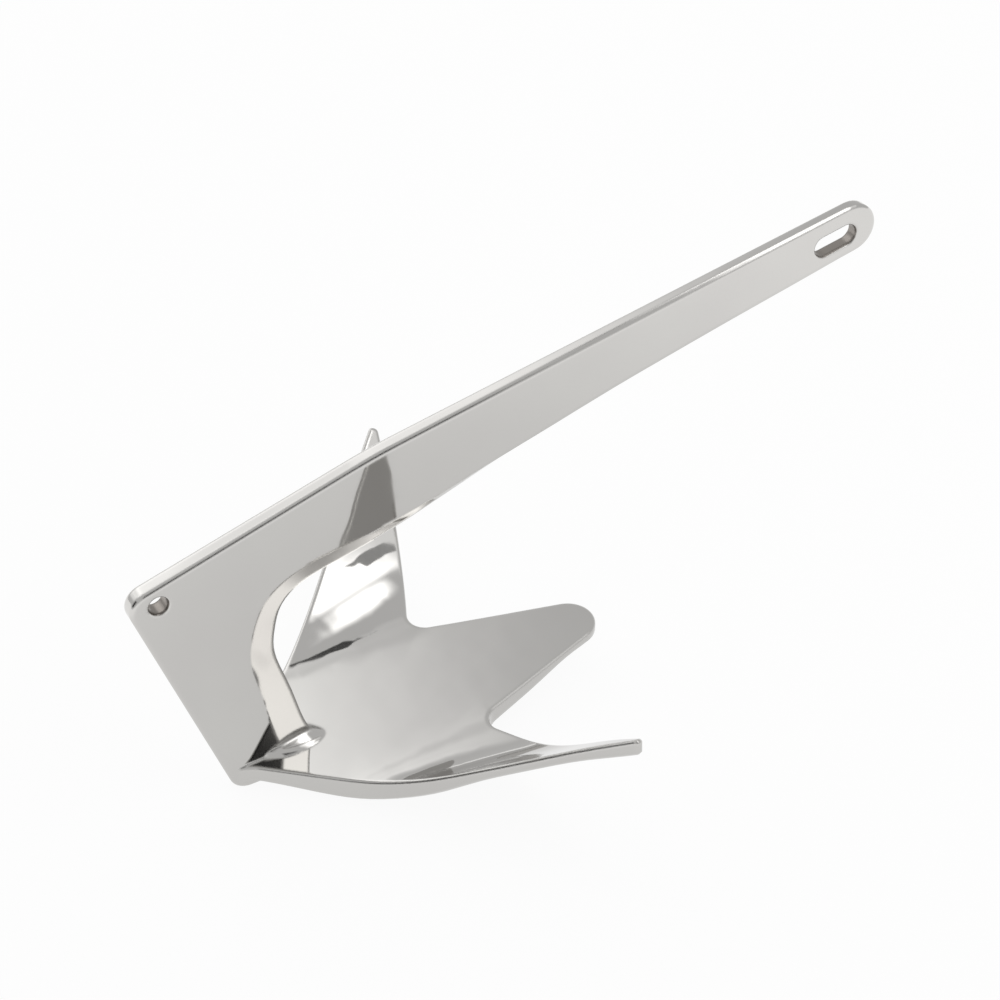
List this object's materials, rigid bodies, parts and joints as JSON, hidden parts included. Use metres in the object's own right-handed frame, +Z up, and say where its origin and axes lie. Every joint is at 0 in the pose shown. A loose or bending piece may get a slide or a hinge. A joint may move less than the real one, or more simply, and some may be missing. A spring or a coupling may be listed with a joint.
{
  "type": "claw anchor",
  "caption": "One-piece claw anchor for a small boat: flat shank with shackle slot and trip-line hole, and a scooped three-toed claw, in mirror-polished stainless steel.",
  "frame": {"origin": "on the floor, under the middle of the anchor's box, as it rests on its heel and belly", "axes": "+X from the heel to the toes, +Y to the left, +Z up; the XZ plane is the mirror plane"},
  "size_m": [0.4672, 0.3246, 0.2565],
  "materials": {
    "polished_steel": "mirror-polished cast 316 stainless steel"
  },
  "bodies": {
    "root": {"anchor": "polished_steel"}
  },
  "joints": []
}
